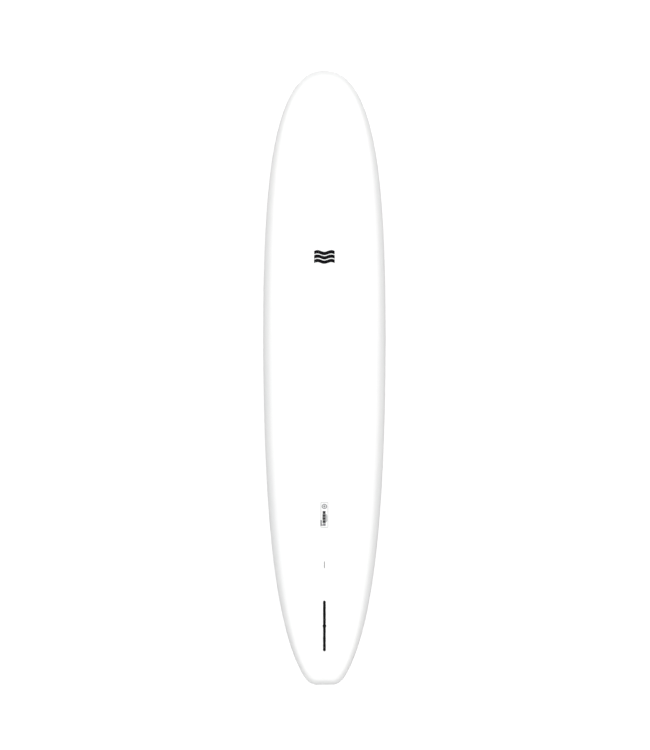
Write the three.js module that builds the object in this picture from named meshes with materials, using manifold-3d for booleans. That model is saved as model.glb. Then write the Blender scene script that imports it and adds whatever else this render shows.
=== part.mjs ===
// Longboard surfboard, 9 ft 6 in, lying bottom up on its deck.
//
// Millimetres. +Z is up, out of the running surface (the bottom of the board), +Y points to the
// nose and X runs across. The origin is on the floor under the middle of the board, so the nose
// and the tail both touch z = 0 with the deck, and the rocker arches the middle up.
//
// The board is a sandwich: two thin shells joined at the rail, a foam core in two halves with a
// wooden stringer between them, and dense foam blocks that hold the fin box, the leash plug and
// the air vent.

import * as THREE from 'three';
import { mergeVertices } from 'three/addons/utils/BufferGeometryUtils.js';
import Module from 'manifold-3d';

const wasm = await Module();
wasm.setup();

// ---- board ------------------------------------------------------------------------------------

const LENGTH = 2896;
const HALF_LENGTH = LENGTH / 2;

// plan shape: half width = LENGTH * WIDTH * (1 - s^A)^(1/B) * (1 - ((1 - s) / (1 + E))^C)^(1/D),
// where s runs from 0 at the tail to 1 at the nose
const PLAN = { width: 0.1008, a: 7.2, b: 2.27, c: 4.85, d: 1.88, e: 0.0135 };
// the squash tail: within this reach the sides turn in by (1 - (1 - y/reach)^in)^(1/out)
const SQUASH = { reach: 46, in: 3, out: 6 };

// rocker: how far the bottom drops from its middle to each end
const NOSE_ROCKER = 112;
const TAIL_ROCKER = 72;
const NOSE_ROCKER_POWER = 2.35;
const TAIL_ROCKER_POWER = 2.3;

// foil: thickness in the middle and at the ends
const THICKNESS = 77;
const NOSE_THICKNESS = 32;
const TAIL_THICKNESS = 34;
const NOSE_FOIL_POWER = 2.8;
const TAIL_FOIL_POWER = 3.1;

// rails: the share of the thickness below the widest line, and how wide each side rolls in
const BOTTOM_SHARE = 0.52;
const BOTTOM_ROLL = 1.3;
const BOTTOM_ROLL_MIN = 32;
const BOTTOM_ROLL_LIMIT = 0.85;
const BOTTOM_ROUND_IN = 2.05;
const BOTTOM_ROUND_OUT = 1.1;
const BOTTOM_CROWN = 2;
const DECK_ROLL_SHARE = 0.78;
const DECK_ROLL_TAPER = 0.6;
const DECK_ROUND_IN = 2.4;
const DECK_ROUND_OUT = 2.0;

// the line in the middle that the cross sections run in to
const TAIL_SPINE = 70;
const NOSE_SPINE = 130;

// steps and passes that find where the deck touches the floor
const STANCE_STEPS = 400;
const STANCE_PASSES = 6;

// ---- build up through the thickness -----------------------------------------------------------

const GAP = 0.3;
const SKIN = 3;
const CORE_INSET = SKIN + GAP;
const STRINGER_WIDTH = 5;

// ---- mesh density -----------------------------------------------------------------------------

const OUTLINE_POINTS = 31;
const OUTLINE_SAMPLES = 3000;
const BEND_WEIGHT = 0.45;
const BOTTOM_RINGS = [0, 0.05, 0.18, 0.4, 0.7, 1];
const DECK_RINGS = [0, 0.03, 0.12, 0.3, 0.6, 1];

// ---- fin box ----------------------------------------------------------------------------------

const FIN_CENTRE_FROM_TAIL = 279.6;
const SLOT_LENGTH = 236.4;
const SLOT_WIDTH = 9.7;
const SLOT_FLOOR = -23;
const TRACK_WIDTH = 15;
const TRACK_TOP = -9;
const TRACK_FLOOR = -15.8;
const DROP_IN_DIAMETER = 13.8;
const BOX_BODY = { length: 258, width: 21, floor: -26 };
const BOX_FLANGE = { length: 272, width: 27, top: -2.4, floor: -6.5 };
const FIN_BLOCK = { length: 304, width: 62, floor: -30 };

// cutters start this far outside the surface: through a shell, and through all that is inside
const OVER_SHELL = 10;
const OVER_CORE = 20;

// ---- leash plug -------------------------------------------------------------------------------

const LEASH_FROM_TAIL = 96;
const CUP = { radius: 14.5, bowl: 11, top: -0.3, bowlFloor: -16, floor: -19, shoulder: 4 };
const BAR = { radius: 2, length: 26, height: -5.5 };
const LEASH_BLOCK = { radius: 27, floor: -21.5 };

// ---- air vent ---------------------------------------------------------------------------------

const VENT_FROM_MIDDLE = 330;
const VENT = {
  top: -0.3, flangeRadius: 15, flangeFloor: -3.2, radius: 12, floor: -21,
  headRadius: 8.6, headFloor: -5.9, sleeveRadius: 6.7, sleeveFloor: -16.2, airRadius: 3.4,
};
const SLEEVE = { radius: 6.4, bore: 4.65, top: -6.2, floor: -15.9 };
const SCREW = {
  top: -0.6, headRadius: 8.1, headFloor: -3.7, major: 4.3, minor: 3.8, floor: -14.2,
  pitch: 1.5, threads: 5, slotWidth: 1.8, slotDepth: 1.5,
};
const O_RING = { radius: 6.6, section: 0.8, height: -4.85 };
const VENT_BLOCK = { radius: 30, floor: -30 };

// ---- shape formulas ---------------------------------------------------------------------------

/** Half width of the board at a distance from the tail. */
function halfWidthAt(fromTail) {
  const s = Math.min(1, Math.max(0, fromTail / LENGTH));
  const nose = (1 - s ** PLAN.a) ** (1 / PLAN.b);
  const tail = (1 - ((1 - s) / (1 + PLAN.e)) ** PLAN.c) ** (1 / PLAN.d);
  const toCorner = Math.max(0, 1 - fromTail / SQUASH.reach);
  const squash = (1 - toCorner ** SQUASH.in) ** (1 / SQUASH.out);
  return LENGTH * PLAN.width * nose * tail * squash;
}

/** Thickness of the board on the middle line. */
function thicknessAt(y) {
  const u = Math.min(1, Math.abs(y) / HALF_LENGTH);
  const end = y > 0 ? NOSE_THICKNESS : TAIL_THICKNESS;
  const power = y > 0 ? NOSE_FOIL_POWER : TAIL_FOIL_POWER;
  return end + (THICKNESS - end) * (1 - u ** power);
}

/** Height of the bottom on the middle line, before the board is set down on the floor. */
function rockerAt(y) {
  const u = Math.min(1, Math.abs(y) / HALF_LENGTH);
  return y > 0 ? -NOSE_ROCKER * u ** NOSE_ROCKER_POWER : -TAIL_ROCKER * u ** TAIL_ROCKER_POWER;
}

/** Width of the deck's roll along one rib, which is as long as its reach. */
function deckRoll(y, reach) {
  return reach * DECK_ROLL_SHARE * (thicknessAt(y) / THICKNESS) ** DECK_ROLL_TAPER;
}

/** Width of the bottom's roll along one rib. */
function bottomRoll(y, reach) {
  const roll = Math.max(BOTTOM_ROLL_MIN, thicknessAt(y) * BOTTOM_SHARE * BOTTOM_ROLL);
  return Math.min(roll, reach * BOTTOM_ROLL_LIMIT);
}

/** How far the deck lies below the bottom's middle line, a distance in from the rail. */
function deckDrop(y, distance, reach, inset) {
  const t = Math.min(1, distance / (deckRoll(y, reach) - inset));
  const round = (1 - (1 - t) ** DECK_ROUND_IN) ** (1 / DECK_ROUND_OUT);
  const thickness = thicknessAt(y);
  return thickness * BOTTOM_SHARE + (thickness * (1 - BOTTOM_SHARE) - inset) * round;
}

/** The deck's lowest point on the middle line near one end, when the board is tilted. */
function lowestPoint(end, tilt) {
  const reach = end > 0 ? NOSE_SPINE : TAIL_SPINE;
  let lowest = { y: 0, z: Infinity };
  for (let step = 0; step <= STANCE_STEPS; step += 1) {
    const distance = (reach * step) / STANCE_STEPS;
    const y = end * (HALF_LENGTH - distance);
    const z = rockerAt(y) + tilt * y - deckDrop(y, distance, reach, 0);
    if (z < lowest.z) {
      lowest = { y, z };
    }
  }
  return lowest;
}

/** The tilt and lift that set the deck down on the floor at both the nose and the tail. */
function setDown() {
  let tilt = 0;
  for (let pass = 0; pass < STANCE_PASSES; pass += 1) {
    const nose = lowestPoint(1, tilt);
    const tail = lowestPoint(-1, tilt);
    tilt -= (nose.z - tail.z) / (nose.y - tail.y);
  }
  return { tilt, lift: -lowestPoint(1, tilt).z };
}

const STANCE = setDown();

/** Height of the bottom on the middle line. */
function bottomAt(y) {
  return rockerAt(y) + STANCE.tilt * y + STANCE.lift;
}

/** Height of the deck on the middle line. */
function deckAt(y) {
  return bottomAt(y) - thicknessAt(y);
}

/** Height of the widest line of the rail. */
function apexAt(y) {
  return bottomAt(y) - thicknessAt(y) * BOTTOM_SHARE;
}

/** Points of the right half of the outline, from the middle of the tail to the tip of the nose. */
function outlinePoints() {
  const dense = [];
  for (let k = 0; k <= OUTLINE_SAMPLES; k += 1) {
    const fromTail = (LENGTH / 2) * (1 - Math.cos((Math.PI * k) / OUTLINE_SAMPLES));
    dense.push(new THREE.Vector2(halfWidthAt(fromTail), fromTail - HALF_LENGTH));
  }
  dense[0].x = 0;
  dense[OUTLINE_SAMPLES].x = 0;
  // each step counts for its length and for how much the line turns there
  const measure = [0];
  for (let k = 1; k <= OUTLINE_SAMPLES; k += 1) {
    const step = dense[k].clone().sub(dense[k - 1]);
    const last = k > 1 ? dense[k - 1].clone().sub(dense[k - 2]) : step;
    const turn = Math.abs(last.cross(step)) / (last.length() * step.length());
    measure.push(measure[k - 1] + step.length() / LENGTH + turn * BEND_WEIGHT);
  }
  const total = measure[OUTLINE_SAMPLES];
  const points = [];
  let k = 0;
  for (let i = 0; i < OUTLINE_POINTS; i += 1) {
    const wanted = (total * i) / (OUTLINE_POINTS - 1);
    while (k < OUTLINE_SAMPLES && measure[k] < wanted) {
      k += 1;
    }
    points.push(dense[k].clone());
  }
  return points;
}

const OUTLINE = outlinePoints();

// ---- surfaces of the board --------------------------------------------------------------------

/** The line from an outline point in to the spine. */
function ribAt(edge) {
  const spineY = Math.min(HALF_LENGTH - NOSE_SPINE, Math.max(-HALF_LENGTH + TAIL_SPINE, edge.y));
  const inward = new THREE.Vector2(0, spineY).sub(edge);
  const reach = inward.length();
  return { edge, reach, inward: inward.normalize() };
}

/** Height of the bottom at a distance in from the rail of a layer that lies an inset inside. */
function bottomHeight(y, across, distance, reach, inset) {
  const t = Math.min(1, distance / (bottomRoll(y, reach) - inset));
  const top = bottomAt(y) - BOTTOM_CROWN * across ** 2 - inset;
  const round = (1 - (1 - t) ** BOTTOM_ROUND_IN) ** (1 / BOTTOM_ROUND_OUT);
  return apexAt(y) + (top - apexAt(y)) * round;
}

/** Height of the deck, in the same way. */
function deckHeight(y, distance, reach, inset) {
  return bottomAt(y) - deckDrop(y, distance, reach, inset);
}

/**
 * A grid of points on one side of a layer: a row for each outline point, right side first and
 * then the left mirrored, running from the rail in to the spine.
 */
function sideGrid(side, inset, rimShift) {
  const rings = side === 'bottom' ? BOTTOM_RINGS : DECK_RINGS;
  const rows = OUTLINE.map((edge) => {
    const rib = ribAt(edge);
    const roll = (side === 'bottom' ? bottomRoll : deckRoll)(edge.y, rib.reach);
    const distances = rings.map((r) => r * (roll - inset));
    distances.push(rib.reach - inset);
    return distances.map((distance, ring) => {
      const in2d = rib.inward.clone().multiplyScalar(distance + inset).add(edge);
      const across = 1 - (distance + inset) / rib.reach;
      const z = side === 'bottom'
        ? bottomHeight(in2d.y, across, distance, rib.reach, inset)
        : deckHeight(in2d.y, distance, rib.reach, inset);
      return new THREE.Vector3(in2d.x, in2d.y, z + (ring === 0 ? rimShift : 0));
    });
  });
  const mirrored = rows.slice(1, -1).reverse().map(
    (row) => row.map((p) => new THREE.Vector3(-p.x, p.y, p.z)),
  );
  return [...rows, ...mirrored];
}

/** Triangles of a grid whose rows close round the board; up tells which way they face. */
function gridFaces(grid, faces, up) {
  grid.forEach((row, i) => {
    const next = grid[(i + 1) % grid.length];
    for (let k = 0; k + 1 < row.length; k += 1) {
      addQuad(faces, row[k], next[k], next[k + 1], row[k + 1], up);
    }
  });
}

/** Two triangles for four corners, turned over when they should face the other way. */
function addQuad(faces, a, b, c, d, keep) {
  if (keep) {
    faces.push([a, b, c], [a, c, d]);
  } else {
    faces.push([a, c, b], [a, d, c]);
  }
}

/** A closed geometry from triangles, dropping the ones that have no area. */
function closedGeometry(faces) {
  const positions = [];
  faces.forEach(([a, b, c]) => {
    const area = b.clone().sub(a).cross(c.clone().sub(a)).length();
    if (area > 1e-6) {
      positions.push(...a.toArray(), ...b.toArray(), ...c.toArray());
    }
  });
  const geometry = new THREE.BufferGeometry();
  geometry.setAttribute('position', new THREE.Float32BufferAttribute(positions, 3));
  return geometry;
}

/** One shell of the board: an outer and an inner surface joined by a rim at the rail. */
function shellGeometry(side) {
  const up = side === 'bottom';
  const rimShift = (up ? 1 : -1) * (GAP / 2);
  const outer = sideGrid(side, 0, rimShift);
  const inner = sideGrid(side, SKIN, rimShift);
  const faces = [];
  gridFaces(outer, faces, up);
  gridFaces(inner, faces, !up);
  outer.forEach((row, i) => {
    const j = (i + 1) % outer.length;
    addQuad(faces, row[0], outer[j][0], inner[j][0], inner[i][0], !up);
  });
  return closedGeometry(faces);
}

/** The whole space inside the shells. */
function coreGeometry() {
  const faces = [];
  gridFaces(sideGrid('bottom', CORE_INSET, 0), faces, true);
  gridFaces(sideGrid('deck', CORE_INSET, 0), faces, false);
  return closedGeometry(faces);
}

// ---- solids and cuts --------------------------------------------------------------------------

/** A solid for cutting and joining, from a closed three.js geometry moved by a matrix. */
function solidFrom(geometry, matrix = new THREE.Matrix4()) {
  const loose = geometry.index ? geometry.toNonIndexed() : geometry;
  const bare = new THREE.BufferGeometry();
  bare.setAttribute('position', loose.getAttribute('position').clone());
  bare.applyMatrix4(matrix);
  const merged = mergeVertices(bare, 1e-4);
  const kept = [];
  const index = merged.index.array;
  for (let t = 0; t < index.length; t += 3) {
    const [a, b, c] = [index[t], index[t + 1], index[t + 2]];
    if (a !== b && b !== c && c !== a) {
      kept.push(a, b, c);
    }
  }
  return new wasm.Manifold(new wasm.Mesh({
    numProp: 3,
    vertProperties: merged.getAttribute('position').array,
    triVerts: Uint32Array.from(kept),
  }));
}

/** A three.js geometry from a solid. */
function geometryFrom(solid) {
  const mesh = solid.getMesh();
  const geometry = new THREE.BufferGeometry();
  geometry.setAttribute('position', new THREE.BufferAttribute(mesh.vertProperties, 3));
  geometry.setIndex(new THREE.BufferAttribute(mesh.triVerts, 1));
  return geometry;
}

/** A bar with round ends that runs along Y, between two heights. */
function roundEndedBar(length, width, floor, top, segments = 8) {
  const radius = width / 2;
  const straight = length / 2 - radius;
  const shape = new THREE.Shape();
  shape.absarc(0, straight, radius, 0, Math.PI, false);
  shape.absarc(0, -straight, radius, Math.PI, 2 * Math.PI, false);
  shape.closePath();
  const geometry = new THREE.ExtrudeGeometry(shape, {
    depth: top - floor, bevelEnabled: false, curveSegments: segments,
  });
  return geometry.translate(0, 0, floor);
}

/** An upright disc between two heights. */
function disc(radius, floor, top, segments = 24) {
  const geometry = new THREE.CylinderGeometry(radius, radius, top - floor, segments);
  return geometry.rotateX(Math.PI / 2).translate(0, 0, (floor + top) / 2);
}

/** A turned piece from radius and height pairs, which start and end on the axis or close. */
function turned(pairs, segments = 24) {
  const points = pairs.map(([radius, height]) => new THREE.Vector2(radius, height));
  return new THREE.LatheGeometry(points, segments).rotateX(Math.PI / 2);
}

// ---- places of the fittings -------------------------------------------------------------------

/** The place on a surface whose local +Z points out of the board. */
function placeOn(heightAt, y, outward) {
  const slope = Math.atan((heightAt(y + 1) - heightAt(y - 1)) / 2);
  const holder = new THREE.Group();
  holder.position.set(0, y, heightAt(y));
  holder.rotation.x = outward > 0 ? slope : Math.PI + slope;
  holder.updateMatrix();
  return holder;
}

const finPlace = placeOn(bottomAt, -HALF_LENGTH + FIN_CENTRE_FROM_TAIL, 1);
const leashPlace = placeOn(deckAt, -HALF_LENGTH + LEASH_FROM_TAIL, -1);
const ventPlace = placeOn(deckAt, VENT_FROM_MIDDLE, -1);

// ---- fin box ----------------------------------------------------------------------------------

/** The outer form of the fin box: a long body under a wider flange, grown all round by extra. */
function finBoxForm(extra) {
  const body = roundEndedBar(
    BOX_BODY.length + 2 * extra, BOX_BODY.width + 2 * extra,
    BOX_BODY.floor - extra, BOX_FLANGE.top + extra,
  );
  const flange = roundEndedBar(
    BOX_FLANGE.length + 2 * extra, BOX_FLANGE.width + 2 * extra,
    BOX_FLANGE.floor - extra, BOX_FLANGE.top + extra,
  );
  return solidFrom(body).add(solidFrom(flange));
}

/** The slot, its side track and the round opening that lets the fin's plate drop in. */
function finSlotForm() {
  const slot = roundEndedBar(SLOT_LENGTH, SLOT_WIDTH, SLOT_FLOOR, OVER_SHELL);
  const track = roundEndedBar(SLOT_LENGTH, TRACK_WIDTH, TRACK_FLOOR, TRACK_TOP);
  const dropIn = disc(DROP_IN_DIAMETER / 2, TRACK_FLOOR, OVER_SHELL);
  return solidFrom(slot).add(solidFrom(track)).add(solidFrom(dropIn));
}

/** The opening in the bottom shell over the slot. */
function finSkinOpening() {
  const slot = roundEndedBar(SLOT_LENGTH, SLOT_WIDTH, -OVER_SHELL, OVER_SHELL);
  const dropIn = disc(DROP_IN_DIAMETER / 2, -OVER_SHELL, OVER_SHELL);
  return solidFrom(slot).add(solidFrom(dropIn));
}

/** The space of the dense foam block round the fin box, grown all round by extra. */
function finBlockForm(extra) {
  return solidFrom(roundEndedBar(
    FIN_BLOCK.length + 2 * extra, FIN_BLOCK.width + 2 * extra,
    FIN_BLOCK.floor - extra, OVER_CORE,
  ));
}

// ---- leash plug -------------------------------------------------------------------------------

/** The cup, with a bowl that narrows at its floor and a hole for the bar in each wall. */
function leashCupForm() {
  const cup = solidFrom(turned([
    [0, CUP.floor], [CUP.radius, CUP.floor], [CUP.radius, CUP.top], [CUP.bowl, CUP.top],
    [CUP.bowl, CUP.bowlFloor + CUP.shoulder], [CUP.bowl - CUP.shoulder, CUP.bowlFloor],
    [0, CUP.bowlFloor],
  ]));
  return cup.subtract(solidFrom(leashBar(GAP)));
}

/** The cross bar, which runs across the board through both walls of the cup. */
function leashBar(extra) {
  const radius = BAR.radius + extra;
  const bar = new THREE.CylinderGeometry(radius, radius, BAR.length + 2 * extra, 12);
  return bar.rotateZ(Math.PI / 2).translate(0, 0, BAR.height);
}

// ---- air vent ---------------------------------------------------------------------------------

function ventHousing() {
  return turned([
    [VENT.airRadius, VENT.floor], [VENT.radius, VENT.floor], [VENT.radius, VENT.flangeFloor],
    [VENT.flangeRadius, VENT.flangeFloor], [VENT.flangeRadius, VENT.top],
    [VENT.headRadius, VENT.top], [VENT.headRadius, VENT.headFloor],
    [VENT.sleeveRadius, VENT.headFloor], [VENT.sleeveRadius, VENT.sleeveFloor],
    [VENT.airRadius, VENT.sleeveFloor], [VENT.airRadius, VENT.floor],
  ]);
}

function ventThreadInsert() {
  return turned([
    [SLEEVE.bore, SLEEVE.floor], [SLEEVE.radius, SLEEVE.floor], [SLEEVE.radius, SLEEVE.top],
    [SLEEVE.bore, SLEEVE.top], [SLEEVE.bore, SLEEVE.floor],
  ]);
}

/** A coin-slot screw: a flat head, a ridged shank and a slot across the head. */
function ventScrew() {
  const profile = [[0, SCREW.floor], [SCREW.minor, SCREW.floor]];
  for (let i = 0; i < SCREW.threads; i += 1) {
    const low = SCREW.floor + (i + 0.5) * SCREW.pitch;
    profile.push([SCREW.minor, low], [SCREW.major, low + SCREW.pitch / 2]);
  }
  profile.push(
    [SCREW.minor, SCREW.floor + (SCREW.threads + 0.5) * SCREW.pitch],
    [SCREW.minor, SCREW.headFloor], [SCREW.headRadius, SCREW.headFloor],
    [SCREW.headRadius, SCREW.top], [0, SCREW.top],
  );
  const slot = new THREE.BoxGeometry(3 * SCREW.headRadius, SCREW.slotWidth, 2 * SCREW.slotDepth);
  slot.translate(0, 0, SCREW.top);
  return geometryFrom(solidFrom(turned(profile)).subtract(solidFrom(slot)));
}

function ventORing() {
  const circle = [];
  const sides = 10;
  for (let i = 0; i <= sides; i += 1) {
    const angle = (2 * Math.PI * (i % sides)) / sides;
    circle.push([
      O_RING.radius + O_RING.section * Math.cos(angle),
      O_RING.height + O_RING.section * Math.sin(angle),
    ]);
  }
  return turned(circle);
}

/** The space the vent's housing fills, grown all round by extra. */
function ventForm(extra) {
  const flange = disc(VENT.flangeRadius + extra, VENT.flangeFloor - extra, OVER_SHELL);
  const body = disc(VENT.radius + extra, VENT.floor - extra, 0);
  return solidFrom(flange).add(solidFrom(body));
}

// ---- shells, core and blocks ------------------------------------------------------------------

/** A solid that is given in a fitting's own frame, moved to its place on the board. */
function placed(solid, place) {
  return solidFrom(geometryFrom(solid), place.matrix);
}

function bottomSkin() {
  return geometryFrom(
    solidFrom(shellGeometry('bottom'))
      .subtract(placed(finSkinOpening(), finPlace))
      .subtract(placed(finBoxForm(GAP), finPlace)),
  );
}

function deckSkin() {
  const leashHole = solidFrom(
    disc(CUP.radius + GAP, -OVER_SHELL, OVER_SHELL), leashPlace.matrix,
  );
  return geometryFrom(
    solidFrom(shellGeometry('deck'))
      .subtract(leashHole)
      .subtract(placed(ventForm(GAP), ventPlace)),
  );
}

/** Everything between the shells, cut into the foam halves, the stringer and the blocks. */
function inside() {
  const whole = solidFrom(coreGeometry());
  const leashBlock = (extra) => solidFrom(
    disc(LEASH_BLOCK.radius + extra, LEASH_BLOCK.floor - extra, OVER_CORE), leashPlace.matrix,
  );
  const ventBlock = (extra) => solidFrom(
    disc(VENT_BLOCK.radius + extra, VENT_BLOCK.floor - extra, OVER_CORE), ventPlace.matrix,
  );
  const cup = solidFrom(disc(CUP.radius + GAP, CUP.floor - GAP, OVER_CORE), leashPlace.matrix);
  const open = whole
    .subtract(placed(finBlockForm(GAP), finPlace))
    .subtract(leashBlock(GAP))
    .subtract(ventBlock(GAP));
  const slab = (low, high) => solidFrom(
    new THREE.BoxGeometry(high - low, 2 * LENGTH, LENGTH).translate((low + high) / 2, 0, 0),
  );
  const half = STRINGER_WIDTH / 2;
  return {
    core_left: open.intersect(slab(-LENGTH, -half - GAP)),
    core_right: open.intersect(slab(half + GAP, LENGTH)),
    stringer: open.intersect(slab(-half, half)),
    fin_box_insert: whole
      .intersect(placed(finBlockForm(0), finPlace))
      .subtract(placed(finBoxForm(GAP), finPlace)),
    leash_plug_insert: whole.intersect(leashBlock(0)).subtract(cup),
    vent_insert: whole.intersect(ventBlock(0)).subtract(placed(ventForm(GAP), ventPlace)),
  };
}

// ---- assembly ---------------------------------------------------------------------------------

/** A plain look for one kind of stuff. */
function material(color, roughness, metalness = 0) {
  return new THREE.MeshStandardMaterial({ color, roughness, metalness });
}

const whiteGloss = material(0xf4f5f3, 0.12);
const blackPlastic = material(0x111214, 0.35);
const foam = material(0xfafaf6, 0.9);
const denseFoam = material(0xd9c9a0, 0.85);
const wood = material(0xc79a5d, 0.6);
const steel = material(0xc8cacd, 0.2, 1);
const brass = material(0xb98f45, 0.3, 1);
const rubber = material(0x151515, 0.7);

/** A named mesh of the assembly. */
function piece(name, geometry, look) {
  const mesh = new THREE.Mesh(geometry, look);
  mesh.name = name;
  return mesh;
}

const board = new THREE.Group();
board.add(piece('bottom_skin', bottomSkin(), whiteGloss));
board.add(piece('deck_skin', deckSkin(), whiteGloss));

const insideLooks = {
  core_left: foam,
  core_right: foam,
  stringer: wood,
  fin_box_insert: denseFoam,
  leash_plug_insert: denseFoam,
  vent_insert: denseFoam,
};
for (const [name, solid] of Object.entries(inside())) {
  board.add(piece(name, geometryFrom(solid), insideLooks[name]));
}

finPlace.add(piece('fin_box', geometryFrom(finBoxForm(0).subtract(finSlotForm())), blackPlastic));
leashPlace.add(piece('leash_plug_cup', geometryFrom(leashCupForm()), blackPlastic));
leashPlace.add(piece('leash_plug_bar', leashBar(0), steel));
ventPlace.add(piece('vent_housing', ventHousing(), blackPlastic));
ventPlace.add(piece('vent_thread_insert', ventThreadInsert(), brass));
ventPlace.add(piece('vent_screw', ventScrew(), steel));
ventPlace.add(piece('vent_o_ring', ventORing(), rubber));
board.add(finPlace, leashPlace, ventPlace);

export default board;
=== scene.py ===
"""Looks of a longboard surfboard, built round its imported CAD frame.

Metres. +Z is up, out of the running surface (the bottom of the board), +Y points to the nose and X
runs across. The board lies bottom up on its deck, so the bottom faces the camera.

The shells, the fin box, the leash plug and the air vent are rebuilt here as fine meshes from the
same formulas as the CAD, and the parts inside the board keep their CAD meshes.
"""

import math

import bmesh
import bpy
import numpy as np
from mathutils import Matrix, Vector


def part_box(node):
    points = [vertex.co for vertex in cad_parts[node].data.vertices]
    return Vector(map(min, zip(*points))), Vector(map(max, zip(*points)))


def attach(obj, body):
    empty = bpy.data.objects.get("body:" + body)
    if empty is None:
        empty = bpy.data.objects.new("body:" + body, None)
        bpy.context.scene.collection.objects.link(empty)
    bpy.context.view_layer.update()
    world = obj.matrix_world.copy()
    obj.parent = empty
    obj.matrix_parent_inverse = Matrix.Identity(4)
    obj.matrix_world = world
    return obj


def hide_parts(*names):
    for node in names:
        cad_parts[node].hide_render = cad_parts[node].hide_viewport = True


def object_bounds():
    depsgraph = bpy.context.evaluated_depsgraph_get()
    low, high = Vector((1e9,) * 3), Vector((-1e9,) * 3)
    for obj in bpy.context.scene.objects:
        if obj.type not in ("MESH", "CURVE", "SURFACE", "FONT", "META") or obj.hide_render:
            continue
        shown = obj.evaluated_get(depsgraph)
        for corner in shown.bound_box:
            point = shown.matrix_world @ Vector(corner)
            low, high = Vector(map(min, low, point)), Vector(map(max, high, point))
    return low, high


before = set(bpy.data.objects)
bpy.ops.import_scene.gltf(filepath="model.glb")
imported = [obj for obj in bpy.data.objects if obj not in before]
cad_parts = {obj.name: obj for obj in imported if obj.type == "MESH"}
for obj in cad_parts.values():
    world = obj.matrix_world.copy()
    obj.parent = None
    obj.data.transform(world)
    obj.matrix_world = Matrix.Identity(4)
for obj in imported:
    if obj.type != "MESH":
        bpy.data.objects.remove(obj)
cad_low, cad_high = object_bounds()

MM = 0.001

# ---- board shape, as in the CAD ----------------------------------------------------------------

HALF_LENGTH = max(cad_high.y, -cad_low.y)
LENGTH = 2 * HALF_LENGTH
PLAN_WIDTH, PLAN_A, PLAN_B, PLAN_C, PLAN_D, PLAN_E = 0.1008, 7.2, 2.27, 4.85, 1.88, 0.0135
SQUASH_REACH, SQUASH_IN, SQUASH_OUT = 46 * MM, 3, 6
NOSE_ROCKER, NOSE_ROCKER_POWER = 112 * MM, 2.35
TAIL_ROCKER, TAIL_ROCKER_POWER = 72 * MM, 2.3
THICKNESS = 77 * MM
NOSE_THICKNESS, NOSE_FOIL_POWER = 32 * MM, 2.8
TAIL_THICKNESS, TAIL_FOIL_POWER = 34 * MM, 3.1
BOTTOM_SHARE = 0.52
BOTTOM_ROLL, BOTTOM_ROLL_MIN, BOTTOM_ROLL_LIMIT = 1.3, 32 * MM, 0.85
BOTTOM_ROUND_IN, BOTTOM_ROUND_OUT = 2.05, 1.1
BOTTOM_CROWN = 2 * MM
DECK_ROLL_SHARE, DECK_ROLL_TAPER = 0.78, 0.6
DECK_ROUND_IN, DECK_ROUND_OUT = 2.4, 2.0
TAIL_SPINE, NOSE_SPINE = 70 * MM, 130 * MM
STANCE_STEPS, STANCE_PASSES = 400, 6
SKIN = 3 * MM

# ---- mesh density of the shells ----------------------------------------------------------------

OUTLINE_POINTS = 230
OUTLINE_SAMPLES = 9000
BEND_WEIGHT = 0.35
ROLL_RINGS = 18
FLAT_RINGS = 9
# gap between the rims of the two shells
SEAM = 0.01 * MM

# ---- mesh tolerances ---------------------------------------------------------------------------

# points nearer than this are one point: in a new mesh, and after a cut
SAME_POINT = 1e-7
WELD = 0.003 * MM
# radius that stands for a point on an axis
ON_AXIS = 1e-6
SHARP_ANGLE = 35


def half_width(from_tail):
    """Half width of the board at a distance from the tail."""
    s = np.clip(from_tail / LENGTH, 0, 1)
    nose = (1 - s**PLAN_A) ** (1 / PLAN_B)
    tail = (1 - ((1 - s) / (1 + PLAN_E)) ** PLAN_C) ** (1 / PLAN_D)
    to_corner = np.maximum(0, 1 - from_tail / SQUASH_REACH)
    squash = (1 - to_corner**SQUASH_IN) ** (1 / SQUASH_OUT)
    return LENGTH * PLAN_WIDTH * nose * tail * squash


def thickness(y):
    """Thickness of the board on the middle line."""
    u = np.minimum(1, np.abs(y) / HALF_LENGTH)
    nose = NOSE_THICKNESS + (THICKNESS - NOSE_THICKNESS) * (1 - u**NOSE_FOIL_POWER)
    tail = TAIL_THICKNESS + (THICKNESS - TAIL_THICKNESS) * (1 - u**TAIL_FOIL_POWER)
    return np.where(y > 0, nose, tail)


def rocker(y):
    """Height of the bottom on the middle line, before the board is set down on the floor."""
    u = np.minimum(1, np.abs(y) / HALF_LENGTH)
    return np.where(y > 0, -NOSE_ROCKER * u**NOSE_ROCKER_POWER, -TAIL_ROCKER * u**TAIL_ROCKER_POWER)


def deck_roll(y, reach):
    """Width of the deck's roll along a rib of this reach."""
    return reach * DECK_ROLL_SHARE * (thickness(y) / THICKNESS) ** DECK_ROLL_TAPER


def bottom_roll(y, reach):
    """Width of the bottom's roll along a rib of this reach."""
    roll = np.maximum(BOTTOM_ROLL_MIN, thickness(y) * BOTTOM_SHARE * BOTTOM_ROLL)
    return np.minimum(roll, reach * BOTTOM_ROLL_LIMIT)


def deck_drop(y, distance, reach, inset):
    """How far the deck lies below the bottom's middle line, a distance in from the rail."""
    t = np.clip(distance / (deck_roll(y, reach) - inset), 0, 1)
    curve = (1 - (1 - t) ** DECK_ROUND_IN) ** (1 / DECK_ROUND_OUT)
    return thickness(y) * BOTTOM_SHARE + (thickness(y) * (1 - BOTTOM_SHARE) - inset) * curve


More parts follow.
